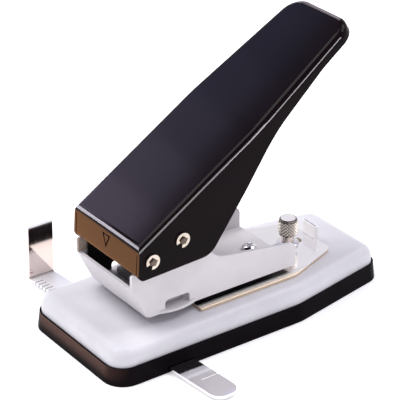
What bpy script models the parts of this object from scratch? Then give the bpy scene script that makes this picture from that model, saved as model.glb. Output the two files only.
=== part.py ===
"""Table-top slot punch for cards and badges.

Axes: +Z up, the card goes in from the front (-Y), +X is the side the guide tongue comes out of.
Origin: centre of the tray's underside. Driving dimensions are in millimetres; `front` distances are
measured from the tray's front edge and turned into Y with the constant FRONT.
"""
import bpy
import bmesh
import math
from mathutils import Matrix, Vector

for old in list(bpy.data.objects):
    bpy.data.objects.remove(old, do_unlink=True)

MM = 0.001

# ---- driving dimensions (mm) -------------------------------------------------
TRAY_W = 70.0            # across X
TRAY_L = 152.5           # along Y
FRONT = TRAY_L / 2       # origin to front edge
TAPER_FROM = 98.0        # sides start to close in here
TRAY_REAR_HALF = 24.4
TRAY_TOP = 8.2
TRAY_WALL = 1.6
TRAY_FLOOR = 0.6

BASE_LOW = 3.0
BASE_TOP = 16.2
BASE_ROUND = 5.6
BASE_SKIN = 3.0

FRAME_HALF = 21.4        # outer half width of the channel
FRAME_T = 1.5
WEB_LOW = 20.4
WEB_TOP = WEB_LOW + FRAME_T
FRAME_REAR = 104.6
FOOT_Y = 25.2            # front edge of the web
LIP = (17.5, 36.3)       # top edge of the front skirt

PIVOT = (25.5, 49.5)     # front distance, height
DRIVE = (40.8, 55.0)
PUNCH_Y = 40.8
PIN_R = 2.0
PIN_CLEAR = 0.08

HANDLE_HALF = 24.9
HANDLE_T = 1.5
HANDLE_TILT = math.radians(32.3)
HANDLE_LEN = 135.5
HANDLE_TAPER_FROM = 72.0
HANDLE_REAR_HALF = 19.5
HANDLE_FRONT = (19.4, 56.9)   # virtual corner of the top face and the front band

SLOT_L = 14.0            # punched slot, along X
SLOT_W = 3.0

STOP_Y = 51.0            # front edge of the depth stop
STOP_T = 1.5
STOP_HALF = 24.6
STOP_REAR = 130.4
THUMB_Y = 117.0
SCREW_Y = 95.0
SCREW2_Y = 72.0

GUIDE_LOW = 0.9
GUIDE_T = 1.4
GUIDE_W = 12.9
GUIDE_SKEW = math.radians(4.9)
GUIDE_MID_Y = 30.1       # centreline of the strip where it crosses X = 0
TAB_X = -64.0
TAB_TOP = 29.6
TAB_LEAN = 0.5           # the tab's top leans in by this much
TONGUE_X = 66.0


# ---- collections, materials ---------------------------------------------------
parts = bpy.data.collections.new("card_slot_punch")
cutters = bpy.data.collections.new("cutters")
bpy.context.scene.collection.children.link(parts)
bpy.context.scene.collection.children.link(cutters)


def material(name, colour, metallic, roughness):
    mat = bpy.data.materials.new(name)
    mat.use_nodes = True
    bsdf = mat.node_tree.nodes["Principled BSDF"]
    bsdf.inputs["Base Color"].default_value = (*colour, 1.0)
    bsdf.inputs["Metallic"].default_value = metallic
    bsdf.inputs["Roughness"].default_value = roughness
    mat.diffuse_color = (*colour, 1.0)
    return mat


BLACK_PLASTIC = ((0.012, 0.011, 0.014), 0.0, 0.35)
BASE_PAINT = ((0.74, 0.74, 0.80), 0.0, 0.35)
FRAME_PAINT = ((0.72, 0.69, 0.70), 0.0, 0.32)
HANDLE_PAINT = ((0.02, 0.018, 0.024), 0.0, 0.25)
CHROME = ((0.78, 0.77, 0.78), 1.0, 0.08)
NICKEL = ((0.70, 0.66, 0.60), 1.0, 0.25)
STEEL = ((0.45, 0.45, 0.46), 1.0, 0.35)
DARK_STEEL = ((0.16, 0.16, 0.17), 1.0, 0.4)
NYLON = ((0.80, 0.79, 0.76), 0.0, 0.45)


# ---- shape helpers --------------------------------------------------------------
def outward(work):
    """Normals consistent and pointing out of the solid."""
    bmesh.ops.recalc_face_normals(work, faces=work.faces)
    if work.calc_volume(signed=True) < 0:
        bmesh.ops.reverse_faces(work, faces=work.faces)


def finish(ob, look, collection=None, smooth=False):
    """Name, place and dress a mesh object."""
    coll = collection or parts
    coll.objects.link(ob)
    if look is not None:
        ob.data.materials.clear()
        ob.data.materials.append(material(ob.name + "_mat", *look))
    if coll is cutters:
        ob.hide_render = True
        ob.display_type = "WIRE"
    for poly in ob.data.polygons:
        poly.use_smooth = smooth
    return ob


def frame_of(plane):
    """Local (a, b, c) to world: c is the extrusion direction."""
    if plane == "XY":
        return Matrix.Identity(4)
    if plane == "YZ":
        return Matrix(((0, 0, 1, 0), (1, 0, 0, 0), (0, 1, 0, 0), (0, 0, 0, 1)))
    if plane == "ZX":
        return Matrix(((0, 1, 0, 0), (0, 0, 1, 0), (1, 0, 0, 0), (0, 0, 0, 1)))
    raise ValueError(plane)


def flat(name, loops, low, high, plane="XY", look=None, collection=None, edge=0.0, steps=3,
         place=None, smooth=False):
    """Filled outline (first loop) with holes (other loops), extruded from low to high."""
    curve = bpy.data.curves.new(name + "_outline", "CURVE")
    curve.dimensions = "2D"
    curve.fill_mode = "BOTH"
    curve.extrude = (high - low) / 2 * MM - edge * MM
    curve.bevel_depth = edge * MM
    curve.bevel_resolution = steps
    curve.offset = -edge * MM
    for loop in loops:
        spline = curve.splines.new("POLY")
        spline.points.add(len(loop) - 1)
        for point, (a, b) in zip(spline.points, loop):
            point.co = (a * MM, b * MM, 0.0, 1.0)
        spline.use_cyclic_u = True
    temp = bpy.data.objects.new(name + "_temp", curve)
    bpy.context.scene.collection.objects.link(temp)
    graph = bpy.context.evaluated_depsgraph_get()
    mesh = bpy.data.meshes.new_from_object(temp.evaluated_get(graph))
    bpy.data.objects.remove(temp, do_unlink=True)
    bpy.data.curves.remove(curve)
    mesh.name = name
    work = bmesh.new()
    work.from_mesh(mesh)
    bmesh.ops.remove_doubles(work, verts=work.verts, dist=0.000002)
    bmesh.ops.translate(work, verts=work.verts, vec=(0, 0, (high + low) / 2 * MM))
    matrix = frame_of(plane)
    if place is not None:
        matrix = place @ matrix
    work.transform(matrix)
    outward(work)
    work.to_mesh(mesh)
    work.free()
    return finish(bpy.data.objects.new(name, mesh), look, collection, smooth)


def box(name, low, high, look=None, collection=None):
    """Axis aligned block between two corners."""
    work = bmesh.new()
    bmesh.ops.create_cube(work, size=1.0)
    for vert in work.verts:
        vert.co = Vector([(lo + hi) / 2 * MM + c * (hi - lo) * MM
                          for c, lo, hi in zip(vert.co, low, high)])
    mesh = bpy.data.meshes.new(name)
    work.to_mesh(mesh)
    work.free()
    return finish(bpy.data.objects.new(name, mesh), look, collection)


def spun(name, profile, centre, axis="Z", look=None, collection=None, steps=32, smooth=True):
    """Closed ring profile of (radius, height) points turned about an axis with a Screw."""
    mesh = bpy.data.meshes.new(name)
    verts = [(r * MM, 0.0, h * MM) for r, h in profile]
    touching = profile[0][0] == 0.0 and profile[-1][0] == 0.0
    edges = [(i, i + 1) for i in range(len(profile) - 1)]
    if not touching:
        edges.append((len(profile) - 1, 0))
    mesh.from_pydata(verts, edges, [])
    temp = bpy.data.objects.new(name + "_temp", mesh)
    bpy.context.scene.collection.objects.link(temp)
    screw = temp.modifiers.new("turn", "SCREW")
    screw.axis = "Z"
    screw.steps = steps
    screw.render_steps = steps
    screw.use_merge_vertices = True
    screw.merge_threshold = 0.00001
    screw.use_normal_calculate = True
    graph = bpy.context.evaluated_depsgraph_get()
    turned = bpy.data.meshes.new_from_object(temp.evaluated_get(graph))
    bpy.data.objects.remove(temp, do_unlink=True)
    work = bmesh.new()
    work.from_mesh(turned)
    bmesh.ops.remove_doubles(work, verts=work.verts, dist=0.00001)
    matrix = Matrix.Identity(4)
    if axis == "X":
        matrix = Matrix(((0, 0, 1, 0), (1, 0, 0, 0), (0, 1, 0, 0), (0, 0, 0, 1)))
    work.transform(Matrix.Translation(Vector(centre) * MM) @ matrix)
    outward(work)
    work.to_mesh(turned)
    work.free()
    turned.name = name
    ob = finish(bpy.data.objects.new(name, turned), look, collection, smooth)
    if smooth:
        ob.data.set_sharp_from_angle(angle=math.radians(35))
    return ob


def combine(ob, other, kind="DIFFERENCE"):
    mod = ob.modifiers.new(kind.lower(), "BOOLEAN")
    mod.operation = kind
    mod.solver = "EXACT"
    mod.object = other
    return mod


def rounded(corners, steps=6):
    """Polygon corners (a, b, radius) to points with tangent arcs."""
    out = []
    count = len(corners)
    for i, (a, b, radius) in enumerate(corners):
        here = Vector((a, b))
        if radius <= 0:
            out.append((a, b))
            continue
        before = Vector(corners[i - 1][:2]) - here
        after = Vector(corners[(i + 1) % count][:2]) - here
        before.normalize()
        after.normalize()
        half = math.acos(max(-1.0, min(1.0, before.dot(after)))) / 2
        reach = radius / math.tan(half)
        centre = here + (before + after).normalized() * (radius / math.sin(half))
        start = here + before * reach - centre
        end = here + after * reach - centre
        turn = math.atan2(start.x * end.y - start.y * end.x, start.dot(end))
        base_angle = math.atan2(start.y, start.x)
        for k in range(steps + 1):
            angle = base_angle + turn * k / steps
            out.append((centre.x + radius * math.cos(angle), centre.y + radius * math.sin(angle)))
    return out


def mirrored(right_side):
    """Right half corners, front to rear, closed with their mirror image."""
    return right_side + [(-a, b, r) for a, b, r in reversed(right_side)]


def stadium(length, width, steps=8, centre=(0.0, 0.0)):
    """Slot outline with round ends, long side along the first axis."""
    radius = width / 2
    reach = length / 2 - radius
    out = []
    for k in range(steps + 1):
        angle = -math.pi / 2 + math.pi * k / steps
        out.append((centre[0] + reach + radius * math.cos(angle), centre[1] + radius * math.sin(angle)))
    for k in range(steps + 1):
        angle = math.pi / 2 + math.pi * k / steps
        out.append((centre[0] - reach + radius * math.cos(angle), centre[1] + radius * math.sin(angle)))
    return out


def circle(radius, centre=(0.0, 0.0), steps=28):
    return [(centre[0] + radius * math.cos(2 * math.pi * k / steps),
             centre[1] + radius * math.sin(2 * math.pi * k / steps)) for k in range(steps)]


def y_of(front):
    return front - FRONT


def plan(inset, corner=10.2):
    """Outline shared by tray and base, moved in by `inset`."""
    half = TRAY_W / 2 - inset
    rear = TRAY_REAR_HALF - inset * 0.85
    return rounded(mirrored([
        (half, y_of(inset), max(corner - inset, 1.0)),
        (half, y_of(TAPER_FROM), 25.0),
        (rear, y_of(TRAY_L - inset), max(9.0 - inset, 1.0)),
    ]), 7)


# ---- tray -----------------------------------------------------------------------
tray = flat("chip_tray", [plan(0.0)], 0.0, TRAY_TOP, look=BLACK_PLASTIC, smooth=False)
for vert in tray.data.vertices:
    if vert.co.z > TRAY_TOP * MM * 0.5:
        vert.co.x *= (TRAY_W / 2 - 0.8) / (TRAY_W / 2)
        vert.co.y *= (TRAY_L / 2 - 0.8) / (TRAY_L / 2)
combine(tray, flat("tray_upper_cut", [plan(TRAY_WALL + 0.1)], 2.7, 20.0, collection=cutters))
combine(tray, flat("tray_lower_cut", [plan(3.6)], TRAY_FLOOR, 3.5, collection=cutters))
skew = Matrix.Translation(Vector((0, y_of(GUIDE_MID_Y), 0)) * MM) @ Matrix.Rotation(GUIDE_SKEW, 4, "Z")
slot_half = GUIDE_W / 2 + 0.3
tray_slot = flat("tray_guide_cut", [[(-60, -slot_half), (60, -slot_half), (60, slot_half), (-60, slot_half)]],
                 TRAY_FLOOR, GUIDE_LOW + GUIDE_T + 0.3, collection=cutters, place=skew)
combine(tray, tray_slot)

# ---- base -----------------------------------------------------------------------
base = flat("base", [plan(1.9)], 2 * BASE_LOW - BASE_TOP - 14.0, BASE_TOP, look=BASE_PAINT, edge=BASE_ROUND,
            steps=4, smooth=True)
base.data.set_sharp_from_angle(angle=math.radians(40))
combine(base, box("base_trim", (-60, -100, -40), (60, 100, BASE_LOW), collection=cutters))
base_room = flat("base_room", [plan(1.9 + BASE_SKIN)], -20.0, BASE_TOP - BASE_SKIN, collection=cutters,
                 edge=3.0, steps=2)
boss_spots = [(0, y_of(SCREW_Y)), (0, y_of(SCREW2_Y)), (0, y_of(THUMB_Y))]
for number, spot in enumerate(boss_spots):
    boss = flat("base_boss_%d" % number, [circle(5.0, spot)], 2.0, 30.0, collection=cutters)
    combine(base_room, boss)
die_seat = box("base_die_seat", (-18, y_of(PUNCH_Y) - 12, 7.0), (18, y_of(PUNCH_Y) + 12, 30.0),
               collection=cutters)
combine(base_room, die_seat)
combine(base, base_room)
combine(base, box("base_die_pocket", (-14.2, y_of(PUNCH_Y) - 8.2, 12.1), (14.2, y_of(PUNCH_Y) + 8.2, 30.0),
                  collection=cutters))
combine(base, box("base_chip_chute", (-10, y_of(PUNCH_Y) - 4.5, 0.0), (10, y_of(PUNCH_Y) + 4.5, 12.0),
                  collection=cutters))
for number, spot in enumerate(boss_spots):
    hole = flat("base_screw_hole_%d" % number, [circle(1.7, spot)], -5.0, 40.0, collection=cutters)
    combine(base, hole)

# ---- die ------------------------------------------------------------------------
flat("die_insert", [[(-14, y_of(PUNCH_Y) - 8), (14, y_of(PUNCH_Y) - 8), (14, y_of(PUNCH_Y) + 8),
                     (-14, y_of(PUNCH_Y) + 8)],
                    stadium(SLOT_L + 0.3, SLOT_W + 0.3, centre=(0, y_of(PUNCH_Y)))],
     12.3, BASE_TOP, look=STEEL)

# ---- frame ----------------------------------------------------------------------


def arc_about(centre, radius, start, end, steps):
    return [(centre[0] + radius * math.cos(math.radians(start + (end - start) * k / steps)),
             centre[1] + radius * math.sin(math.radians(start + (end - start) * k / steps)), 0.0)
            for k in range(steps + 1)]


def frame_side(inset):
    """Side view of the channel; inset > 0 gives the room between the walls."""
    slope = (FOOT_Y - LIP[0]) / (LIP[1] - WEB_LOW)
    if inset:
        low = WEB_LOW + inset
        front_in = inset / math.cos(math.atan(slope))
        corners = [(FOOT_Y - inset * slope + front_in, low, 0), (140.0, low, 0), (140.0, 90.0, 0),
                   (-10.0, 90.0, 0), (-10.0, LIP[1], 0), (LIP[0] + front_in, LIP[1], 0)]
    else:
        corners = [(FOOT_Y, WEB_LOW, 0), (FRAME_REAR, WEB_LOW, 1.0), (FRAME_REAR, 31.7, 3.6), (79.3, 35.4, 0),
                   (62.3, 38.1, 7.0), (52.8, 46.6, 1.5), (35.3, 46.6, 3.0)]
        corners += arc_about(PIVOT, 4.6, 25, 195, 10)
        corners += [(21.1, 43.1, 0.6), (LIP[0], 42.8, 0.8), (*LIP, 0.0)]
    return [(y_of(a), b) for a, b in rounded(corners, 5)]


frame = flat("frame", [frame_side(0.0)], -FRAME_HALF, FRAME_HALF, plane="YZ", look=FRAME_PAINT)
bend = bmesh.new()
bend.from_mesh(frame.data)
bend.edges.ensure_lookup_table()
low_edges = []
for edge in bend.edges:
    ends = [vert.co / MM for vert in edge.verts]
    on_side = all(abs(abs(end.x) - FRAME_HALF) < 0.01 for end in ends) and abs(ends[0].x - ends[1].x) < 0.01
    if on_side and all(abs(end.z - WEB_LOW) < 0.02 for end in ends):
        low_edges.append(edge)
bmesh.ops.bevel(bend, geom=low_edges, offset=1.2 * MM, segments=3, profile=0.5, affect="EDGES")
bend.to_mesh(frame.data)
bend.free()
combine(frame, flat("frame_room", [frame_side(FRAME_T)], -FRAME_HALF + FRAME_T, FRAME_HALF - FRAME_T, plane="YZ",
                    collection=cutters))
window = rounded([(y_of(34.3), WEB_TOP - 0.2, 0.6), (y_of(47.1), WEB_TOP - 0.2, 0.6), (y_of(47.1), 26.1, 1.6),
                  (y_of(34.3), 26.1, 1.6)], 4)
combine(frame, flat("frame_window", [window], -30.0, 30.0, plane="YZ", collection=cutters))
ear = flat("frame_ear", [circle(23.6, (0, y_of(40.6)), 72)], WEB_LOW, WEB_TOP - 0.2, collection=cutters, edge=0.4,
           steps=2)
combine(ear, box("frame_ear_span", (-40, y_of(30.6), 0), (40, y_of(50.6), 60), collection=cutters), "INTERSECT")
combine(frame, ear, "UNION")
combine(frame, flat("frame_punch_hole", [stadium(SLOT_L + 1.2, SLOT_W + 1.2, centre=(0, y_of(PUNCH_Y)))],
                    10.0, 30.0, collection=cutters))
combine(frame, flat("frame_pivot_hole", [circle(PIN_R + PIN_CLEAR, (y_of(PIVOT[0]), PIVOT[1]))], -30.0, 30.0,
                    plane="YZ", collection=cutters))
for number, spot in enumerate(boss_spots[:2]):
    combine(frame, flat("frame_screw_hole_%d" % number, [circle(1.9, spot)], 10.0, 30.0, collection=cutters))
for number, side in enumerate((-1, 1)):
    combine(frame, flat("frame_guide_hole_%d" % number, [circle(1.3, (side * 14.6, y_of(PUNCH_Y)))], 10.0, 30.0,
                        collection=cutters))

flat("frame_spacer", [rounded([(-9, y_of(66), 2), (9, y_of(66), 2), (9, y_of(101), 2), (-9, y_of(101), 2)], 4),
                      circle(1.9, boss_spots[0]), circle(1.9, boss_spots[1])],
     BASE_TOP + 0.05, WEB_LOW - 0.05, look=STEEL)


def pan_screw(name, spot, seat, reach, head_r, shank_r, look):
    """Domed cross-recess screw; seat is the height its head sits on."""
    dome = [(0.0, seat + 2.3), (head_r * 0.55, seat + 2.15), (head_r * 0.85, seat + 1.6), (head_r, seat + 0.8),
            (head_r, seat + 0.05), (shank_r, seat + 0.05), (shank_r, reach + 0.5), (shank_r - 0.4, reach),
            (0.0, reach)]
    ob = spun(name, dome, (spot[0], spot[1], 0.0), look=look, steps=28)
    for k, (wide, deep) in enumerate(((head_r * 0.62, 0.55), (0.55, head_r * 0.62))):
        cross = box("%s_recess_%d" % (name, k), (spot[0] - wide, spot[1] - deep, seat + 1.1),
                    (spot[0] + wide, spot[1] + deep, seat + 6), collection=cutters)
        combine(ob, cross)
    return ob


pan_screw("frame_screw_rear", boss_spots[0], WEB_TOP, 6.0, 3.5, 1.5, CHROME)
pan_screw("frame_screw_front", boss_spots[1], WEB_TOP, 6.0, 3.5, 1.5, CHROME)

# ---- punch, its guide and the spring ------------------------------------------
guide = flat("punch_guide", [rounded([(-11, y_of(PUNCH_Y) - 6, 1.5), (11, y_of(PUNCH_Y) - 6, 1.5),
                                      (11, y_of(PUNCH_Y) + 6, 1.5), (-11, y_of(PUNCH_Y) + 6, 1.5)], 4)],
             WEB_TOP + 0.05, 35.4, look=STEEL)
foot = flat("punch_guide_foot", [rounded([(-17.6, y_of(PUNCH_Y) - 6, 1.5), (17.6, y_of(PUNCH_Y) - 6, 1.5),
                                          (17.6, y_of(PUNCH_Y) + 6, 1.5), (-17.6, y_of(PUNCH_Y) + 6, 1.5)], 4)],
            WEB_TOP + 0.05, 24.4, collection=cutters)
combine(guide, foot, "UNION")
combine(guide, flat("punch_guide_bore", [stadium(SLOT_L + 0.3, SLOT_W + 0.3, centre=(0, y_of(PUNCH_Y)))],
                    10.0, 50.0, collection=cutters))
for number, side in enumerate((-1, 1)):
    spot = (side * 14.6, y_of(PUNCH_Y))
    combine(guide, flat("punch_guide_hole_%d" % number, [circle(1.3, spot)], 10.0, 30.0, collection=cutters))
    pan_screw("guide_screw_%s" % ("l" if side < 0 else "r"), spot, 24.4, 19.2, 2.3, 1.05, NICKEL)

punch = flat("punch", [stadium(SLOT_L, SLOT_W, centre=(0, y_of(PUNCH_Y)))], 20.9, 46.9, look=DARK_STEEL)
head = flat("punch_head", [rounded([(-9.5, y_of(PUNCH_Y) - 5.6, 1.2), (9.5, y_of(PUNCH_Y) - 5.6, 1.2),
                                    (9.5, y_of(PUNCH_Y) + 5.6, 1.2), (-9.5, y_of(PUNCH_Y) + 5.6, 1.2)], 3)],
            46.4, 59.6, collection=cutters)
combine(punch, head, "UNION")
slot_for_pin = [(a + 0.45, b) for a, b in stadium(2 * PIN_R + 2.4, 2 * PIN_R + 0.8,
                                                  centre=(y_of(DRIVE[0]), DRIVE[1]))]
combine(punch, flat("punch_pin_slot", [slot_for_pin], -20.0, 20.0, plane="YZ", collection=cutters))

coil = bpy.data.curves.new("return_spring_path", "CURVE")
coil.dimensions = "3D"
coil.bevel_depth = 0.55 * MM
coil.bevel_resolution = 2
coil.use_fill_caps = True
path = coil.splines.new("POLY")
TURNS = 3.5
STEPS = 56
path.points.add(STEPS)
for k, point in enumerate(path.points):
    angle = 2 * math.pi * TURNS * k / STEPS
    height = 36.2 + (45.5 - 36.2) * k / STEPS
    point.co = (8.7 * MM * math.cos(angle), y_of(PUNCH_Y) * MM + 8.7 * MM * math.sin(angle), height * MM, 1.0)
spring_temp = bpy.data.objects.new("spring_temp", coil)
bpy.context.scene.collection.objects.link(spring_temp)
spring_mesh = bpy.data.meshes.new_from_object(
    spring_temp.evaluated_get(bpy.context.evaluated_depsgraph_get()))
bpy.data.objects.remove(spring_temp, do_unlink=True)
weld = bmesh.new()
weld.from_mesh(spring_mesh)
bmesh.ops.remove_doubles(weld, verts=weld.verts, dist=0.000005)
outward(weld)
weld.to_mesh(spring_mesh)
weld.free()
finish(bpy.data.objects.new("return_spring", spring_mesh), STEEL, smooth=True)

# ---- pins, clips, washers -------------------------------------------------------
CLIP_IN = HANDLE_HALF + 0.15
CLIP_OUT = CLIP_IN + 0.7
PIN_END = CLIP_OUT + 0.75
GROOVE_R = 1.3


def cross_pin(name, where):
    profile = [(0.0, PIN_END), (1.2, PIN_END), (1.65, PIN_END - 0.35), (1.65, CLIP_OUT + 0.1),
               (GROOVE_R, CLIP_OUT + 0.1), (GROOVE_R, CLIP_IN - 0.05), (PIN_R, CLIP_IN - 0.05)]
    profile += [(r, -x) for r, x in reversed(profile)]
    return spun(name, profile, (0.0, y_of(where[0]), where[1]), axis="X", look=NICKEL, steps=24)


def e_clip(name, where, side):
    """Split ring with three inner lobes, mouth facing forward and down."""
    outer = 3.4
    deep = 2.45
    lobe = GROOVE_R + 0.12
    mouth = math.radians(230)
    points = []
    for k in range(25):
        angle = mouth + math.radians(28) + math.radians(304) * k / 24
        points.append((outer * math.cos(angle), outer * math.sin(angle)))
    marks = [(332, lobe), (300, lobe), (292, deep), (222, deep), (214, lobe), (180, lobe), (146, lobe),
             (138, deep), (68, deep), (60, lobe), (28, lobe)]
    for degrees, radius in marks:
        angle = mouth + math.radians(degrees)
        points.append((radius * math.cos(angle), radius * math.sin(angle)))
    loop = [(y_of(where[0]) + a, where[1] + b) for a, b in points]
    low, high = (CLIP_IN, CLIP_OUT) if side > 0 else (-CLIP_OUT, -CLIP_IN)
    return flat(name, [loop], low, high, plane="YZ", look=NICKEL)


cross_pin("pivot_pin", PIVOT)
cross_pin("drive_pin", DRIVE)
for side, tag in ((1, "r"), (-1, "l")):
    e_clip("pivot_clip_" + tag, PIVOT, side)
    e_clip("drive_clip_" + tag, DRIVE, side)
    inner = FRAME_HALF + 0.15
    outer = HANDLE_HALF - HANDLE_T - 0.15
    ends = (inner, outer) if side > 0 else (-outer, -inner)
    flat("pivot_washer_" + tag, [circle(4.2, (y_of(PIVOT[0]), PIVOT[1])),
                                 circle(PIN_R + 0.15, (y_of(PIVOT[0]), PIVOT[1]))],
         ends[0], ends[1], plane="YZ", look=NYLON)

# ---- handle ---------------------------------------------------------------------
TO_HANDLE = (Matrix.Translation(Vector((0, y_of(HANDLE_FRONT[0]), HANDLE_FRONT[1])) * MM)
             @ Matrix.Rotation(HANDLE_TILT, 4, "X"))


def along(front, height):
    """World side-view point to (distance along the handle, height over its top face)."""
    dy = front - HANDLE_FRONT[0]
    dz = height - HANDLE_FRONT[1]
    cos = math.cos(HANDLE_TILT)
    sin = math.sin(HANDLE_TILT)
    return (dy * cos + dz * sin, -dy * sin + dz * cos)


def handle_plan(inset):
    front_half = HANDLE_HALF - inset
    rear_half = HANDLE_REAR_HALF - inset
    knee = 10.0
    return rounded(mirrored([
        (front_half, -30.0, 0),
        (front_half, HANDLE_TAPER_FROM, 120.0),
        (rear_half, HANDLE_LEN - inset, knee - inset),
    ]), 8)


def handle_side(inset):
    """Side view of the pressed channel; inset > 0 gives the hollow."""
    cos = math.cos(HANDLE_TILT)
    lean = math.atan2(HANDLE_FRONT[0] - 18.4, HANDLE_FRONT[1] - 41.4)
    if inset:
        front_push = inset / math.cos(lean)
        top_corner = along(HANDLE_FRONT[0] + front_push - inset * 0.15, HANDLE_FRONT[1] - inset * 0.6)
        low_front = along(18.4 + front_push - math.tan(lean) * 11.4, 30.0)
        return rounded([(*low_front, 0), (60.0, -60.0, 0), (HANDLE_LEN - inset, -60.0, 0),
                        (HANDLE_LEN - inset, -inset, 3.0), (top_corner[0], -inset, 3.0)], 6)
    low_front = along(18.4, 41.4)
    low_mid = along(55.8, 43.0)
    return rounded([(*low_front, 3.0), (*low_mid, 9.0), (52.0, -19.8, 30.0), (76.0, -9.3, 60.0),
                    (112.0, -5.5, 60.0), (HANDLE_LEN, -5.5, 1.4), (HANDLE_LEN, 0.0, 3.2), (0.0, 0.0, 4.2)], 7)


handle = flat("handle", [handle_plan(0.0)], -60.0, 0.0, look=HANDLE_PAINT, edge=2.8, steps=4, place=TO_HANDLE,
              smooth=False)
combine(handle, flat("handle_side_trim", [handle_side(0.0)], -40.0, 40.0, plane="YZ", collection=cutters,
                     place=TO_HANDLE), "INTERSECT")
hollow = flat("handle_hollow", [handle_plan(HANDLE_T)], -80.0, -HANDLE_T, collection=cutters, edge=0.8, steps=2,
              place=TO_HANDLE)
combine(hollow, flat("handle_hollow_trim", [handle_side(HANDLE_T)], -40.0, 40.0, plane="YZ", collection=cutters,
                     place=TO_HANDLE), "INTERSECT")
combine(handle, hollow)
inner = HANDLE_HALF - HANDLE_T
combine(handle, box("handle_band_trim", (-inner, y_of(5.0), 20.0), (inner, y_of(22.0), 43.8), collection=cutters))
for number, side in enumerate((-1, 1)):
    low_x, high_x = sorted((side * (inner - 0.45), side * (inner + 0.02)))
    combine(handle, box("handle_seam_%d" % number, (low_x, y_of(5.0), 40.0), (high_x, y_of(22.0), 53.8),
                        collection=cutters))
for number, where in enumerate((PIVOT, DRIVE)):
    combine(handle, flat("handle_pin_hole_%d" % number, [circle(PIN_R + PIN_CLEAR, (y_of(where[0]), where[1]))],
                         -40.0, 40.0, plane="YZ", collection=cutters))
band_lean = math.atan2(HANDLE_FRONT[0] - 18.4, HANDLE_FRONT[1] - 41.4)
ON_BAND = (Matrix.Translation(Vector((0, y_of(HANDLE_FRONT[0]), HANDLE_FRONT[1])) * MM)
           @ Matrix.Rotation(-band_lean, 4, "X")
           @ Matrix(((1, 0, 0, 0), (0, 0, 1, 0), (0, 1, 0, 0), (0, 0, 0, 1))))
pointer = flat("handle_pointer", [[(-3.0, -3.4), (3.0, -3.4), (0.0, -9.8)],
                                 [(-1.8, -4.1), (1.8, -4.1), (0.0, -8.0)]], -10.0, 0.5, collection=cutters,
               place=ON_BAND)
combine(handle, pointer)

# ---- depth stop, thumb screw ------------------------------------------------------
STOP_LOW = BASE_TOP + 0.05
STOP_HIGH = STOP_LOW + STOP_T
stop_outline = rounded(mirrored([(STOP_HALF, y_of(STOP_Y), 0.8), (STOP_HALF, y_of(103.0), 8.0),
                                 (14.6, y_of(STOP_REAR), 5.0), (4.3, y_of(STOP_REAR), 0)]), 5)
wide = 10.0
narrow = 2.5
stop_slot = rounded([(-wide, y_of(60.5), 2), (wide, y_of(60.5), 2), (wide, y_of(106.3), 2),
                     (narrow, y_of(106.3), 0), (narrow, y_of(124.4), 2.4), (-narrow, y_of(124.4), 2.4),
                     (-narrow, y_of(106.3), 0), (-wide, y_of(106.3), 2)], 5)
stop = flat("depth_stop", [stop_outline, stop_slot], STOP_LOW, STOP_HIGH, look=CHROME, edge=0.15, steps=1)
tab_side = rounded([(y_of(STOP_REAR - 3.0), STOP_LOW, 0), (y_of(STOP_REAR + 0.6), STOP_LOW, 1.4),
                    (y_of(STOP_REAR + 0.6), 24.4, 0.7), (y_of(STOP_REAR - 0.9), 24.4, 0.7),
                    (y_of(STOP_REAR - 0.9), STOP_HIGH, 0.5), (y_of(STOP_REAR - 3.0), STOP_HIGH, 0)], 4)
combine(stop, flat("depth_stop_tab", [tab_side], -4.3, 4.3, plane="YZ", collection=cutters), "UNION")

thumb_profile = [(0.0, 30.9), (3.7, 30.9), (4.1, 30.5), (4.1, 22.8), (3.6, 22.3), (2.8, 22.3), (2.8, 19.3),
                 (1.9, 19.3), (1.9, 19.15), (1.5, 19.15), (1.5, 6.5), (1.1, 6.0), (0.0, 6.0)]
spun("thumb_screw", thumb_profile, (0.0, y_of(THUMB_Y), 0.0), look=NICKEL, steps=36)
spun("thumb_washer", [(5.2, 18.7), (5.2, STOP_HIGH + 0.05), (1.9, STOP_HIGH + 0.05), (1.9, 19.1), (4.6, 19.1)],
     (0.0, y_of(THUMB_Y), 0.0), look=CHROME, steps=32)

# ---- side guide -------------------------------------------------------------------
GUIDE_HIGH = GUIDE_LOW + GUIDE_T
half = GUIDE_W / 2
tan = math.tan(GUIDE_SKEW)
left_mid = y_of(GUIDE_MID_Y) + tan * (TAB_X - GUIDE_T)
right_mid = y_of(GUIDE_MID_Y) + tan * TONGUE_X
strip = flat("side_guide", [rounded([(TAB_X - GUIDE_T, left_mid - half, 0.3), (TONGUE_X, right_mid - half, 5.2),
                                     (TONGUE_X, right_mid + half, 5.2), (TAB_X - GUIDE_T, left_mid + half, 0.3)],
                                    6)],
             GUIDE_LOW, GUIDE_HIGH, look=CHROME)
tab_end = rounded([(GUIDE_LOW, TAB_X - GUIDE_T, 1.2), (GUIDE_LOW, TAB_X + 1.5, 0), (GUIDE_HIGH, TAB_X + 1.5, 0),
                   (GUIDE_HIGH, TAB_X, 0.5), (TAB_TOP, TAB_X + TAB_LEAN, 0.5),
                   (TAB_TOP, TAB_X + TAB_LEAN - GUIDE_T, 0.5)], 4)
tab = flat("side_guide_tab", [tab_end], left_mid - half + 0.05, left_mid + half - 0.05, plane="ZX", collection=cutters)
combine(strip, tab, "UNION")

parts.hide_render = False
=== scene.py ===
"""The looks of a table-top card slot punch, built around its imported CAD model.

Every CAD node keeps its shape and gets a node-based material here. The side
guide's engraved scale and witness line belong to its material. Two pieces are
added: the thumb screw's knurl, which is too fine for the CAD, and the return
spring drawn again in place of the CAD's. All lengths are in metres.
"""

import math

import bpy
import bmesh
from mathutils import Matrix, Vector

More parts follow.
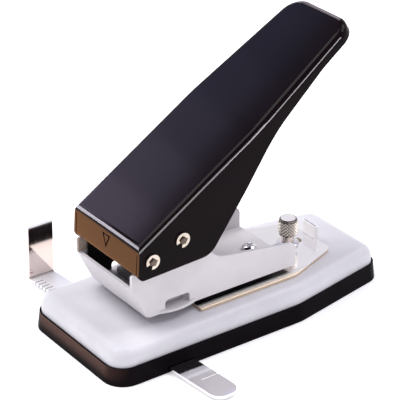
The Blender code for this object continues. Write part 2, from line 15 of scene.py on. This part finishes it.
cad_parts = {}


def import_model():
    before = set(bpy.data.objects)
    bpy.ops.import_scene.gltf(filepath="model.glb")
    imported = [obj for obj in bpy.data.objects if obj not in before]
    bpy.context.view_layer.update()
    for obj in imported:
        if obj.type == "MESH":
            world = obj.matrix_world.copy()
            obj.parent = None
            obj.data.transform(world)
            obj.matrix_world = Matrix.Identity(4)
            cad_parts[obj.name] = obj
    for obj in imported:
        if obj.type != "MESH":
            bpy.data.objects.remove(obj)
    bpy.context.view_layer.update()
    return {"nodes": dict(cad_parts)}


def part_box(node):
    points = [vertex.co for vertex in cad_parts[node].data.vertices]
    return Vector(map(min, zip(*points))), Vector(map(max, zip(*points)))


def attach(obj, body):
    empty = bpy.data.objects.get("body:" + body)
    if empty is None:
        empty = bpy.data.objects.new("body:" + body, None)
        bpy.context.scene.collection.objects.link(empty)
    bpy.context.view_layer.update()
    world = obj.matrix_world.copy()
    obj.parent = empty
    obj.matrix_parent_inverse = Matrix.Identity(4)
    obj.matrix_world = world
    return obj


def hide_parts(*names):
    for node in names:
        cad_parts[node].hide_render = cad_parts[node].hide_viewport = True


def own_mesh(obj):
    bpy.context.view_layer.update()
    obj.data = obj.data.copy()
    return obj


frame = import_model()
nodes = frame["nodes"]
MM = 0.001


# ---- material helpers --------------------------------------------------------

# a noise's values lie mostly between these, so masks and roughness run from one to the other
NOISE_LOW, NOISE_HIGH = 0.3, 0.7
CLOUD_LOW, CLOUD_HIGH = 0.35, 0.65

# how deep the paint's peel and the plate's polishing marks stand in a bump
PEEL = 0.2 * MM
HAIR = 0.1 * MM


class Look:
    """A Principled material and short calls to wire procedural detail into it."""

    def __init__(self, name, colour, metallic=0.0, roughness=0.4, **sockets):
        self.mat = bpy.data.materials.new(name)
        self.mat.use_nodes = True
        self.tree = self.mat.node_tree
        self.shader = self.tree.nodes["Principled BSDF"]
        self.set("Base Color", (*colour, 1.0))
        self.set("Metallic", metallic)
        self.set("Roughness", roughness)
        for key, value in sockets.items():
            self.set(key.replace("_", " "), value)
        self.coords = self.add("ShaderNodeTexCoord").outputs["Object"]
        self.normal = None

    def set(self, socket, value):
        self.shader.inputs[socket].default_value = value

    def add(self, kind, **settings):
        node = self.tree.nodes.new(kind)
        for key, value in settings.items():
            setattr(node, key, value)
        return node

    def link(self, source, target):
        self.tree.links.new(source, target)

    # values over the surface

    def axis(self, letter):
        """One coordinate of the surface point."""
        node = self.add("ShaderNodeSeparateXYZ")
        self.link(self.coords, node.inputs["Vector"])
        return node.outputs[letter]

    def noise(self, scale, detail=3.0, stretch=(1, 1, 1), roughness=0.5):
        """Noise in the object's own metres; scale is in features per metre."""
        mapping = self.add("ShaderNodeMapping")
        mapping.inputs["Scale"].default_value = [scale * s for s in stretch]
        self.link(self.coords, mapping.inputs["Vector"])
        node = self.add("ShaderNodeTexNoise")
        node.inputs["Scale"].default_value = 1.0
        node.inputs["Detail"].default_value = detail
        node.inputs["Roughness"].default_value = roughness
        self.link(mapping.outputs["Vector"], node.inputs["Vector"])
        return node.outputs["Fac"]

    def maths(self, operation, *terms):
        node = self.add("ShaderNodeMath", operation=operation)
        for socket, value in zip(node.inputs, terms):
            if isinstance(value, (int, float)):
                socket.default_value = value
            else:
                self.link(value, socket)
        return node.outputs["Value"]

    def span(self, value, low, high, out_low, out_high):
        """Maps a value from one range to another, clamped."""
        node = self.add("ShaderNodeMapRange")
        ends = {"From Min": low, "From Max": high, "To Min": out_low, "To Max": out_high}
        for socket, number in ends.items():
            node.inputs[socket].default_value = number
        self.link(value, node.inputs["Value"])
        return node.outputs["Result"]

    # masks, which are 1 where they hold and 0 elsewhere

    def above(self, value, low, high):
        """Holds above high, and fades out down to low."""
        return self.span(value, low, high, 0.0, 1.0)

    def below(self, value, low, high):
        """Holds below low, and fades out up to high."""
        return self.span(value, low, high, 1.0, 0.0)

    def within(self, value, low, high, soft):
        """Holds from low to high, and fades out over soft on both sides."""
        return self.both(self.above(value, low - soft, low), self.below(value, high, high + soft))

    def both(self, first, *others):
        """Where every one of the masks holds."""
        for mask in others:
            first = self.maths("MULTIPLY", first, mask)
        return first

    def either(self, one, two):
        return self.maths("MAXIMUM", one, two)

    def outside(self, mask):
        return self.maths("SUBTRACT", 1.0, mask)

    # colours

    def mix(self, factor, one, two):
        """Colour between one and two; each is a colour or a socket."""
        node = self.add("ShaderNodeMix", data_type="RGBA")
        self.link(factor, node.inputs["Factor"])
        for socket, value in ((node.inputs["A"], one), (node.inputs["B"], two)):
            if isinstance(value, tuple):
                socket.default_value = (*value, 1.0)
            else:
                self.link(value, socket)
        return node.outputs["Result"]

    def clouds(self, scale, detail, tones):
        """Two close tones that drift into each other."""
        return self.mix(self.above(self.noise(scale, detail), CLOUD_LOW, CLOUD_HIGH), *tones)

    # what the shader takes

    def bump(self, height, strength, distance):
        node = self.add("ShaderNodeBump")
        node.inputs["Strength"].default_value = strength
        node.inputs["Distance"].default_value = distance
        self.link(height, node.inputs["Height"])
        if self.normal is not None:
            self.link(self.normal, node.inputs["Normal"])
        self.normal = node.outputs["Normal"]

    def colour(self, source):
        self.link(source, self.shader.inputs["Base Color"])

    def rough(self, source):
        self.link(source, self.shader.inputs["Roughness"])

    def rough_between(self, noise, low, high):
        """Roughness that wanders with a noise from low to high."""
        self.rough(self.span(noise, NOISE_LOW, NOISE_HIGH, low, high))

    def done(self):
        if self.normal is not None:
            self.link(self.normal, self.shader.inputs["Normal"])
        return self.mat


# ---- materials ---------------------------------------------------------------

# the two close tones of each plate
CHROME_TONES = (0.80, 0.79, 0.80), (0.74, 0.73, 0.75)
STOP_TONES = (0.97, 0.95, 0.94), (0.93, 0.91, 0.90)
SCREW_TONES = (0.86, 0.77, 0.72), (0.78, 0.69, 0.63)
NICKEL_TONES = (0.62, 0.55, 0.47), (0.54, 0.47, 0.40)
PIN_TONES = (0.14, 0.11, 0.09), (0.10, 0.08, 0.06)
STEEL_TONES = (0.50, 0.50, 0.51), (0.42, 0.42, 0.44)
TOOL_STEEL_TONES = (0.17, 0.17, 0.18), (0.12, 0.12, 0.13)
ZINC_TONES = (0.66, 0.64, 0.65), (0.58, 0.56, 0.57)

# and of each paint
FRAME_TONES = (0.65, 0.62, 0.64), (0.60, 0.575, 0.595)
BASE_TONES = (0.625, 0.617, 0.650), (0.58, 0.572, 0.608)
# painted shade: near black for the frame's inside, dim brown for its far post
PAINTED_SHADE_DARK = (0.006, 0.005, 0.006)
PAINTED_SHADE_DIM = (0.34, 0.27, 0.23)


def lever_paint():
    """Glossy black stove enamel: fine orange peel under a clear skin."""
    look = Look("lever_paint", (0.005, 0.003, 0.004), roughness=0.09, Specular_IOR_Level=0.05)
    look.colour(look.clouds(35, 2, ((0.0042, 0.0022, 0.0030), (0.0055, 0.0028, 0.0038))))
    look.rough_between(look.noise(420, 5), 0.075, 0.105)
    look.bump(look.noise(1100, 2), 0.01, PEEL)
    return look.done()


def stove_paint(name, tones, roughness, grain, painted_shade_masks=None):
    """Light baked paint, faintly mottled, with a fine peel.

    The last argument gives two masks of painted shade: where the paint turns near black, and where it
    turns a dim brown.
    """
    look = Look(name, tones[0], roughness=roughness, Specular_IOR_Level=0.3)
    mottle = look.above(look.noise(55, 5, roughness=0.6), 0.38, 0.66)
    paint = look.mix(mottle, *tones)
    # painted shade: where the masks hold, the paint turns near black or dim brown
    if painted_shade_masks:
        painted_dark, painted_dim = painted_shade_masks(look)
        paint = look.mix(painted_dark, look.mix(painted_dim, paint, PAINTED_SHADE_DIM), PAINTED_SHADE_DARK)
    look.colour(paint)
    look.rough_between(look.noise(500, 4), roughness - 0.05, roughness + 0.07)
    look.bump(look.noise(grain, 3), 0.07, PEEL)
    return look.done()


SKIRT_TOP = 15.9 * MM       # the front skirt's top edge, over the frame's lowest edge
SKIRT_SLOPE = 0.484         # how far the skirt runs back for each unit it runs down
WALL_ROOM = 1.2 * MM        # the washer's inner face to the part of the channel painted in shade


def frame_painted_shade(look):
    """Masks of painted shade on the frame: near black on its faces round the punch and under the web, dim
    brown on its far post.
    """
    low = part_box("frame")[0]
    x, y, z = look.axis("X"), look.axis("Y"), look.axis("Z")
    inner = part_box("pivot_washer_r")[0].x - WALL_ROOM
    in_channel = look.within(x, -inner, inner, 0.1 * MM)

    # y + slope * z is the same all over the skirt's outer face, and grows behind it
    slant = look.maths("ADD", y, look.maths("MULTIPLY", z, SKIRT_SLOPE))
    skirt = low.y + SKIRT_SLOPE * (SKIRT_TOP + low.z)
    behind_skirt = look.both(look.above(slant, skirt + 0.8 * MM, skirt + 1.0 * MM),
                             look.above(y, low.y + 3.7 * MM, low.y + 4.9 * MM))

    round_punch = look.below(y, low.y + 33 * MM, low.y + 35 * MM)
    over_web = look.above(z, low.z + 1.9 * MM, low.z + 2.1 * MM)
    by_window = look.both(look.above(x, 5 * MM, 6 * MM),
                          look.below(z, low.z + 6.3 * MM, low.z + 6.6 * MM))
    front = look.both(round_punch, over_web, look.outside(by_window))

    under_web = look.both(look.above(y, low.y + 31 * MM, low.y + 32 * MM),
                          look.below(z, low.z + 0.1 * MM, low.z + 0.2 * MM))
    # painted shade, near black, inside the channel round the punch and under the web
    painted_dark = look.both(in_channel, behind_skirt, look.either(front, under_web))

    # painted shade, dim brown, on the far post
    painted_dim = look.both(look.within(x, low.x + 2.35 * MM, low.x + 5 * MM, 0.1 * MM),
                     look.above(z, low.z + SKIRT_TOP, low.z + SKIRT_TOP + 0.5 * MM),
                     look.below(y, low.y + 10 * MM, low.y + 12 * MM))
    return painted_dark, painted_dim


def tray_plastic():
    """Black moulded plastic with a fine spark-eroded texture."""
    look = Look("tray_plastic", (0.004, 0.003, 0.004), roughness=0.38, Specular_IOR_Level=0.025)
    look.colour(look.clouds(90, 4, ((0.0026, 0.0018, 0.0028), (0.0044, 0.0028, 0.0038))))
    look.rough_between(look.noise(700, 5), 0.30, 0.46)
    look.bump(look.noise(2600, 3), 0.12, PEEL)
    return look.done()


def plated(name, tones, roughness, along=(1, 1, 1), scratch=0.03):
    """Bright plate: hairline polishing marks along one way, and slow changes of tint."""
    look = Look(name, tones[0], metallic=1.0, roughness=roughness)
    look.colour(look.clouds(70, 3, tones))
    hair = look.noise(2500, 2, stretch=along)
    look.rough_between(hair, roughness * 0.75, roughness * 1.4)
    look.bump(hair, scratch, HAIR)
    return look.done()


def stop_plate():
    """Bright nickel on a steel sheet, darker on its sheared edges, with a warm painted highlight on those
    edges and along both long edges.
    """
    look = Look("stop_nickel", STOP_TONES[0], metallic=1.0, roughness=0.18)
    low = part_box("depth_stop")[0]
    # dulled along both long edges, where cards rub it, and tinted warm there as a painted highlight
    from_middle = look.maths("ABSOLUTE", look.axis("X"))
    rubbed = look.above(from_middle, 19.4 * MM, 22.4 * MM)
    painted_warm_glint = look.above(from_middle, 21.8 * MM, 24.2 * MM)
    face = look.mix(painted_warm_glint, look.clouds(60, 3, STOP_TONES), (1.0, 0.90, 0.76))
    # the sheared edges are darker bare steel, warmed as a painted highlight
    sheared = look.below(look.axis("Z"), low.z + 1.26 * MM, low.z + 1.36 * MM)
    look.colour(look.mix(sheared, face, (0.72, 0.58, 0.44)))
    hair = look.noise(2500, 2, stretch=(1, 0.03, 1))
    polish = look.span(hair, NOISE_LOW, NOISE_HIGH, 0.15, 0.21)
    look.rough(look.either(polish, look.maths("MULTIPLY", rubbed, 0.55)))
    look.bump(hair, 0.006, HAIR)
    return look.done()


def from_screw_axis(look):
    """Distance from the thumb screw's axis, and the radius of the screw's head."""
    low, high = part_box("thumb_screw")
    centre = (low + high) / 2
    x = look.maths("SUBTRACT", look.axis("X"), centre.x)
    y = look.maths("SUBTRACT", look.axis("Y"), centre.y)
    squares = look.maths("ADD", look.maths("MULTIPLY", x, x), look.maths("MULTIPLY", y, y))
    return look.maths("SQRT", squares), (high.x - low.x) / 2


def crown_plate():
    """The thumb screw's nickel, with a painted highlight on its top face and a dark painted reflection
    round that face's edge.
    """
    look = Look("screw_nickel", SCREW_TONES[0], metallic=1.0, roughness=0.20)
    out, head = from_screw_axis(look)
    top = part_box("thumb_screw")[1].z
    # painted highlight: the top face is lighter than the sides
    painted_top_light = look.above(look.axis("Z"), top - 0.55 * MM, top - 0.45 * MM)
    # painted reflection: a dark ring round the top face's edge
    rim = look.both(painted_top_light, look.above(out, head - 0.75 * MM, head - 0.65 * MM))
    plate = look.mix(painted_top_light, look.clouds(70, 3, SCREW_TONES), (1.0, 0.97, 0.96))
    look.colour(look.mix(rim, plate, (0.16, 0.14, 0.13)))
    hair = look.noise(2500, 2)
    look.rough_between(hair, 0.15, 0.28)
    look.bump(hair, 0.03, HAIR)
    return look.done()


def knurled_plate():
    """Nickel on the knurl, with a painted highlight on its points and painted shade down in its grooves.
    """
    look = Look("knurled_nickel", (0.6, 0.5, 0.42), metallic=1.0, roughness=0.3)
    out, head = from_screw_axis(look)
    # painted light by radius: bright on the knurl's points, near black in its grooves
    point = look.above(out, head + 0.10 * MM, head + 0.17 * MM)
    look.colour(look.mix(point, (0.03, 0.020, 0.014), (1.0, 0.92, 0.83)))
    look.rough_between(look.noise(1500, 3), 0.26, 0.38)
    return look.done()


def nylon():
    """Milky nylon, which lets a little light in."""
    look = Look("nylon", (0.62, 0.60, 0.55), roughness=0.5, Subsurface_Weight=0.15)
    look.shader.inputs["Subsurface Radius"].default_value = (1.0 * MM, 1.0 * MM, 0.8 * MM)
    look.rough_between(look.noise(900, 3), 0.44, 0.58)
    look.bump(look.noise(1800, 2), 0.05, HAIR)
    return look.done()


STRIP_SKEW = math.radians(4.9)      # the side guide's strip lies a little askew
STRIP_MIDDLE = -46.15 * MM          # its middle line's y where x is 0
TICK_PITCH = 2.5 * MM
TICK_SHARE = 0.30                   # the part of the pitch that a tick takes up
SCALE_ENDS = -61.0 * MM, -43.1 * MM # the scale runs between these along x
LINE_ENDS = 50.2 * MM, 50.7 * MM    # so does the witness line on the tongue


def guide_scale(look, x, y):
    """Mask of the ticks, which are ruled from the strip's near edge to short of its middle."""
    across = look.maths("SUBTRACT", look.maths("MULTIPLY", y, math.cos(STRIP_SKEW)),
                        look.maths("MULTIPLY", x, math.sin(STRIP_SKEW)))
    off_middle = look.maths("SUBTRACT", across, STRIP_MIDDLE * math.cos(STRIP_SKEW))
    near_edge = look.below(off_middle, -2.6 * MM, -2.5 * MM)
    share = look.maths("FRACT", look.maths("MULTIPLY", x, 1 / TICK_PITCH))
    tick = look.maths("LESS_THAN", share, TICK_SHARE)
    return look.both(near_edge, tick, look.within(x, *SCALE_ENDS, 0.1 * MM))


def guide_plate():
    """The side guide's chrome, with its engraved scale and witness line."""
    look = Look("guide_chrome", CHROME_TONES[0], metallic=1.0, roughness=0.08)
    low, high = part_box("side_guide")
    x, y, z = look.axis("X"), look.axis("Y"), look.axis("Z")
    scale = guide_scale(look, x, y)
    line = look.both(look.within(x, *LINE_ENDS, 0.2 * MM),
                     look.above(y, high.y - 9.4 * MM, high.y - 9.2 * MM))
    marks = look.either(scale, line)

    # the fence stands up at the strip's left end, past a fold painted dark as shade, to a ground rim
    fence = look.above(z, low.z + 1.6 * MM, low.z + 1.8 * MM)
    painted_fold_shade = look.both(look.within(z, low.z + 1.3 * MM, low.z + 2.1 * MM, 0.05 * MM),
                     look.below(x, low.x + 2.0 * MM, low.x + 2.2 * MM))
    rim = look.above(z, high.z - 1.30 * MM, high.z - 1.15 * MM)
    tint = look.clouds(70, 3, CHROME_TONES)
    tint = look.mix(look.below(x, -45 * MM, -35 * MM), tint, (0.84, 0.85, 0.89))
    tint = look.mix(fence, tint, (0.76, 0.64, 0.59))
    # painted shade darkens the fold
    tint = look.mix(painted_fold_shade, tint, (0.30, 0.27, 0.26))
    tint = look.mix(rim, tint, (0.90, 0.91, 0.94))
    look.colour(look.mix(line, look.mix(scale, tint, (0.30, 0.29, 0.30)), (0.95, 0.95, 0.95)))

    # the rim and the ruled end of the strip are satin, so they scatter light like paint
    ruled_end = look.both(look.outside(fence), look.below(x, -46 * MM, -42 * MM))
    satin = look.either(look.maths("MULTIPLY", rim, 0.9), look.maths("MULTIPLY", ruled_end, 0.5))
    look.link(look.outside(satin), look.shader.inputs["Metallic"])
    hair = look.noise(2500, 2, stretch=(0.03, 1, 0.03))
    polish = look.span(hair, NOISE_LOW, NOISE_HIGH, 0.05, 0.10)
    dull = look.either(look.maths("MULTIPLY", look.either(marks, rim), 0.6),
                       look.maths("MULTIPLY", ruled_end, 0.35))
    look.rough(look.either(polish, dull))
    look.bump(hair, 0.03, HAIR)
    look.bump(look.outside(marks), 0.4, HAIR)
    return look.done()


LEVER = lever_paint()
FRAME_PAINT = stove_paint("frame_paint", FRAME_TONES, 0.36, 1500, frame_painted_shade)
BASE_PAINT = stove_paint("base_paint", BASE_TONES, 0.38, 1300)
TRAY = tray_plastic()
CHROME = plated("chrome_plate", CHROME_TONES, 0.07, (1, 0.03, 1))
STOP_PLATE = stop_plate()
GUIDE_CHROME = guide_plate()
KNURLED = knurled_plate()
NICKEL = plated("nickel_plate", NICKEL_TONES, 0.22)
PIN_END = plated("pin_end", PIN_TONES, 0.30)
HEAD = crown_plate()
STEEL = plated("ground_steel", STEEL_TONES, 0.28, (0.05, 1, 1), 0.06)
TOOL_STEEL = plated("tool_steel", TOOL_STEEL_TONES, 0.30, (1, 1, 0.05), 0.05)
NYLON = nylon()
ZINC = plated("zinc_casting", ZINC_TONES, 0.42, scratch=0.02)

LOOKS = {
    "handle": LEVER, "frame": FRAME_PAINT, "base": BASE_PAINT, "chip_tray": TRAY,
    "depth_stop": STOP_PLATE, "side_guide": GUIDE_CHROME, "thumb_washer": CHROME,
    "frame_screw_front": CHROME, "frame_screw_rear": CHROME, "thumb_screw": HEAD,
    "pivot_pin": PIN_END, "drive_pin": PIN_END, "pivot_clip_l": NICKEL, "pivot_clip_r": NICKEL,
    "drive_clip_l": NICKEL, "drive_clip_r": NICKEL, "guide_screw_l": NICKEL, "guide_screw_r": NICKEL,
    "pivot_washer_l": NYLON, "pivot_washer_r": NYLON, "die_insert": STEEL, "frame_spacer": STEEL,
    "punch_guide": ZINC, "return_spring": STEEL, "punch": TOOL_STEEL,
}


def shade_by_angle(limit):
    """Geometry nodes that shade smooth, and keep the edges over the limit sharp."""
    group = bpy.data.node_groups.new("shade_by_angle", "GeometryNodeTree")
    group.interface.new_socket("Geometry", in_out="INPUT", socket_type="NodeSocketGeometry")
    group.interface.new_socket("Geometry", in_out="OUTPUT", socket_type="NodeSocketGeometry")
    make = group.nodes.new
    start, end = make("NodeGroupInput"), make("NodeGroupOutput")
    faces, edges = make("GeometryNodeSetShadeSmooth"), make("GeometryNodeSetShadeSmooth")
    faces.domain, edges.domain = "FACE", "EDGE"
    angle, over = make("GeometryNodeInputMeshEdgeAngle"), make("FunctionNodeCompare")
    over.data_type, over.operation = "FLOAT", "GREATER_THAN"
    over.inputs["B"].default_value = limit
    edges.inputs["Shade Smooth"].default_value = False
    link = group.links.new
    link(start.outputs[0], faces.inputs["Geometry"])
    link(faces.outputs["Geometry"], edges.inputs["Geometry"])
    link(angle.outputs["Unsigned Angle"], over.inputs["A"])
    link(over.outputs["Result"], edges.inputs["Selection"])
    link(edges.outputs["Geometry"], end.inputs[0])
    return group


# a fine broken edge on each sort of piece, in millimetres
EDGES = {
    "frame": 0.25, "base": 0.2, "chip_tray": 0.35, "handle": 0.12, "depth_stop": 0.12,
    "side_guide": 0.12, "punch_guide": 0.2, "die_insert": 0.1, "frame_spacer": 0.2, "punch": 0.15,
}
SHARP = math.radians(34)            # shading stays sharp over an edge above this angle
BEVELLED = math.radians(42)         # and the edges above this one are broken
SAME_POINT = 0.002 * MM

SMOOTHER = shade_by_angle(SHARP)
for name, node in nodes.items():
    node.data.materials.clear()
    node.data.materials.append(LOOKS[name])
    node.modifiers.new("weld", "WELD").merge_threshold = SAME_POINT
    if name in EDGES:
        bevel = node.modifiers.new("broken_edge", "BEVEL")
        bevel.width = EDGES[name] * MM
        bevel.segments = 2
        bevel.limit_method = "ANGLE"
        bevel.angle_limit = BEVELLED
        bevel.use_clamp_overlap = True
    node.modifiers.new("shading", "NODES").node_group = SMOOTHER
    # large faces keep a flat shading, so that they mirror like sheet metal
    flats = node.modifiers.new("flat_faces", "WEIGHTED_NORMAL")
    flats.mode, flats.weight, flats.keep_sharp = "FACE_AREA", 90, True


# ---- added pieces ------------------------------------------------------------

def through_rings(rings):
    """A mesh through rings of points, each ring joined to the next all the way round."""
    work = bmesh.new()
    rings = [[work.verts.new(point) for point in ring] for ring in rings]
    for lower, upper in zip(rings, rings[1:]):
        for i in range(len(lower)):
            k = (i + 1) % len(lower)
            work.faces.new((lower[i], lower[k], upper[k], upper[i]))
    return work, rings


def mesh_piece(name, work, material, body):
    mesh = bpy.data.meshes.new(name)
    bmesh.ops.recalc_face_normals(work, faces=work.faces)
    work.to_mesh(mesh)
    work.free()
    mesh.materials.append(material)
    ob = bpy.data.objects.new(name, mesh)
    bpy.context.scene.collection.objects.link(ob)
    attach(ob, body)
    return ob


def on_circle(centre, radius, angle, height):
    return centre.x + radius * math.cos(angle), centre.y + radius * math.sin(angle), height


def ridge(turn):
    """1 at each whole turn, and 0 half way between."""
    return abs(turn % 1.0 - 0.5) * 2


def knurl():
    """Diamond knurling rolled round the thumb screw's head: crossed helical ridges."""
    low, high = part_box("thumb_screw")
    centre = (low + high) / 2
    head = (high.x - low.x) / 2
    bottom, top = high.z - 7.9 * MM, high.z - 0.65 * MM
    clear, depth = 0.02 * MM, 0.42 * MM
    around, rows, starts = 204, 44, 17
    fade_rows = rows / 10
    rings = []
    for row in range(rows + 1):
        height = bottom + (top - bottom) * row / rows
        fade = min(1.0, min(row, rows - row) / fade_rows)
        ring = []
        for step in range(around):
            angle = 2 * math.pi * step / around
            lift = height / head
            right = ridge((angle + lift) * starts / (2 * math.pi))
            left = ridge((angle - lift) * starts / (2 * math.pi))
            radius = head + clear + fade * depth * min(right, left)
            ring.append(on_circle(centre, radius, angle, height))
        rings.append(ring)
    work, _ = through_rings(rings)
    return mesh_piece("thumb_knurl", work, KNURLED, "thumb")


def spring():
    """The return spring drawn again as its own piece, in place of the CAD's spring, which it hides."""
    low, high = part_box("return_spring")
    centre = (low + high) / 2
    wire = 0.55 * MM
    turns, steps, sides = 3.5, 140, 12
    coil = (high.x - low.x) / 2 - wire
    rise = high.z - low.z - 2 * wire
    rings = []
    for step in range(steps + 1):
        angle = 2 * math.pi * turns * step / steps
        middle = low.z + wire + rise * step / steps
        ring = []
        for side in range(sides):
            lean = 2 * math.pi * side / sides
            radius = coil + wire * math.cos(lean)
            ring.append(on_circle(centre, radius, angle, middle + wire * math.sin(lean)))
        rings.append(ring)
    work, rings = through_rings(rings)
    for end in (rings[0], rings[-1]):
        work.faces.new(end)
    for face in work.faces:
        face.smooth = len(face.verts) == 4
    piece = mesh_piece("return_spring_live", work, STEEL, "body")
    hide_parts("return_spring")
    # the head comes down 6 mm on a spring 10.4 mm tall
    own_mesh(piece)


knurl()
spring()


# ---- studio ------------------------------------------------------------------

FLOOR_HALF = 4.0
FLOOR_DROP = 0.2 * MM               # the floor lies just under the tray

SENSOR, LENS = 36.0, 173.3          # in millimetres, as Blender's cameras take them
CAMERA_AT = Vector((601.84, -441.04, 440.74)) * MM
AZIMUTH, ELEVATION = math.radians(54.29), math.radians(27.5)

# the background's brightness and tint, each fading between two heights
SIDE_LIGHT, TOP_LIGHT, LIGHT_FADE = 0.88, 0.28, (0.55, 0.76)
SIDE_TINT, TOP_TINT, TINT_FADE = (1.0, 0.98, 0.98, 1.0), (0.72, 0.70, 1.0, 1.0), (0.4, 0.7)

SHEET_AWAY = 0.9                    # from a glint's spot on the lever to its sheet
SHEET_LIES = Vector((-0.667, 0.372, -0.645))    # a sheet's second side keeps as near this way as it can


def floor():
    """A pale card, lit a little from within so that it stays nearly white round the shadows."""
    look = Look("floor_card", (0.93, 0.93, 0.93), roughness=0.7, Emission_Strength=0.22)
    look.set("Emission Color", (1.0, 1.0, 1.0, 1.0))
    look.rough_between(look.noise(3, 2), 0.66, 0.74)
    work = bmesh.new()
    bmesh.ops.create_grid(work, x_segments=2, y_segments=2, size=FLOOR_HALF)
    mesh = bpy.data.meshes.new("floor")
    work.to_mesh(mesh)
    work.free()
    ob = bpy.data.objects.new("floor", mesh)
    bpy.context.scene.collection.objects.link(ob)
    ob.location.z = -FLOOR_DROP
    mesh.materials.append(look.done())


def world():
    """Bright all round at the height of the table, dim and bluish overhead."""
    studio = bpy.data.worlds.new("studio")
    studio.use_nodes = True
    nodes_new, link = studio.node_tree.nodes.new, studio.node_tree.links.new
    back = studio.node_tree.nodes["Background"]
    where, split = nodes_new("ShaderNodeTexCoord"), nodes_new("ShaderNodeSeparateXYZ")
    link(where.outputs["Generated"], split.inputs["Vector"])

    def height_fade(ends):
        ramp = nodes_new("ShaderNodeMapRange")
        ramp.inputs["From Min"].default_value, ramp.inputs["From Max"].default_value = ends
        link(split.outputs["Z"], ramp.inputs["Value"])
        return ramp

    light = height_fade(LIGHT_FADE)
    light.inputs["To Min"].default_value, light.inputs["To Max"].default_value = SIDE_LIGHT, TOP_LIGHT
    link(light.outputs["Result"], back.inputs["Strength"])
    tint = nodes_new("ShaderNodeMix")
    tint.data_type = "RGBA"
    tint.inputs["A"].default_value, tint.inputs["B"].default_value = SIDE_TINT, TOP_TINT
    link(height_fade(TINT_FADE).outputs["Result"], tint.inputs["Factor"])
    link(tint.outputs["Result"], back.inputs["Color"])
    bpy.context.scene.world = studio


def camera():
    data = bpy.data.cameras.new("camera")
    data.sensor_width, data.lens = SENSOR, LENS
    data.clip_start, data.clip_end = 0.05, 20.0
    ob = bpy.data.objects.new("camera", data)
    bpy.context.scene.collection.objects.link(ob)
    level = math.cos(ELEVATION)
    back = Vector((math.sin(AZIMUTH) * level, -math.cos(AZIMUTH) * level, math.sin(ELEVATION)))
    ob.location = CAMERA_AT
    ob.rotation_euler = (-back).to_track_quat("-Z", "Y").to_euler()
    bpy.context.scene.camera = ob


def softbox(name, at, aim, size, power, colour=(1, 1, 1), only=()):
    """A soft sheet light; given `only`, it shows as a glint on those nodes and lights nothing."""
    data = bpy.data.lights.new(name, "AREA")
    data.shape = "RECTANGLE"
    data.size, data.size_y = size
    data.energy = power
    data.color = colour
    ob = bpy.data.objects.new(name, data)
    bpy.context.scene.collection.objects.link(ob)
    ob.location = at
    ob.rotation_euler = (Vector(aim) - Vector(at)).to_track_quat("-Z", "Y").to_euler()
    ob.visible_camera = False
    if only:
        ob.visible_diffuse = False
        group = bpy.data.collections.new(name + "_on")
        for node in only:
            group.objects.link(nodes[node])
        ob.light_linking.receiver_collection = group
    return ob


def lever_sheet(name, middle, along, side, out, size, light):
    """A sheet that shows only in the lever; light is its radiance in red, green and blue."""
    brightest = max(light)
    power = brightest * math.pi * size[0] * size[1]
    colour = [part / brightest for part in light]
    sheet = softbox(name, (0, 0, 1), (0, 0, 0), size, power, colour, only=("handle",))
    turn = Matrix((along, side, out)).transposed().to_4x4()
    sheet.matrix_world = Matrix.Translation(middle) @ turn


def lever_glint(name, spot, way, size, radiance, colour):
    """A sheet mirrored at one spot of the lever, square to the way the light comes from."""
    out = Vector(way).normalized()
    side = (SHEET_LIES - SHEET_LIES.dot(out) * out).normalized()
    light = [radiance * part for part in colour]
    lever_sheet(name, Vector(spot) + out * SHEET_AWAY, side.cross(out), side, out, size, light)


def lever_sheen():
    """Sheets mirrored in the lever's top, from bright over its front to dim over its rear."""
    front, rear = Vector((-0.667, -0.25, 0.63)), Vector((-0.645, -0.011, 0.745))
    lever_middle = Vector((0, 0.01, 0.09))
    dim, gain = (0.75, 1.15, 2.1), (5.8, 4.6, 6.1)
    share, depth = 0.2, 0.28
    span = rear - front
    along = span.normalized()
    out = ((front + rear) / 2 - lever_middle).normalized()
    side = out.cross(along).normalized()
    for step in range(9):
        # 0 at the front and 1 at the rear; the sheets run on past both
        place = -0.4 + share * step
        fall = min(1.0, max(0.0, 1.0 - place)) ** 2.7
        light = [least + more * fall for least, more in zip(dim, gain)]
        near_end = -0.026 + 0.010 * place
        middle = front + span * place + side * (near_end + depth / 2)
        lever_sheet("sheen_%d" % step, middle, along, side, out, (share * span.length, depth), light)


def bounce(name, x, y, size, power, colour, node):
    """The table's warm light on one node's front: a sheet that faces up from the floor."""
    softbox(name, (x, y, 0.5 * MM), (x, y, 1.0), size, power, colour, only=(node,))


floor()
world()
camera()
softbox("overhead_rear", (0.15, 0.55, 0.95), (0, 0.03, 0.03), (0.6, 0.6), 7.0, (1.0, 0.99, 1.0))
softbox("overhead_front", (-0.35, -0.40, 1.1), (0, 0, 0.03), (0.7, 0.7), 12.0, (1.0, 0.99, 0.97))
lever_glint("front_bend", (0, -0.057, 0.056), (-0.72, -0.62, 0.31), (0.45, 0.7), 62, (0.93, 0.88, 1.0))
lever_glint("near_bend", (0.02, 0.02, 0.10), (0.98, 0.0, 0.20), (0.5, 0.42), 60, (1.0, 0.96, 1.0))
lever_glint("near_bend_rear", (0.018, 0.05, 0.118), (0.95, 0.28, 0.20), (0.36, 0.26), 90, (1.0, 0.96, 1.0))
lever_glint("rear_roll", (0, 0.06, 0.125), (-0.72, 0.40, 0.57), (0.45, 0.5), 7, (1.0, 0.88, 1.0))
bounce("warm_bounce", -0.08, -0.115, (0.13, 0.09), 0.24, (1.0, 0.36, 0.03), "handle")
bounce("warm_tray", -0.04, -0.15, (0.26, 0.14), 1.3, (1.0, 0.54, 0.42), "chip_tray")
lever_sheen()
bpy.context.scene.view_settings.view_transform = "Standard"
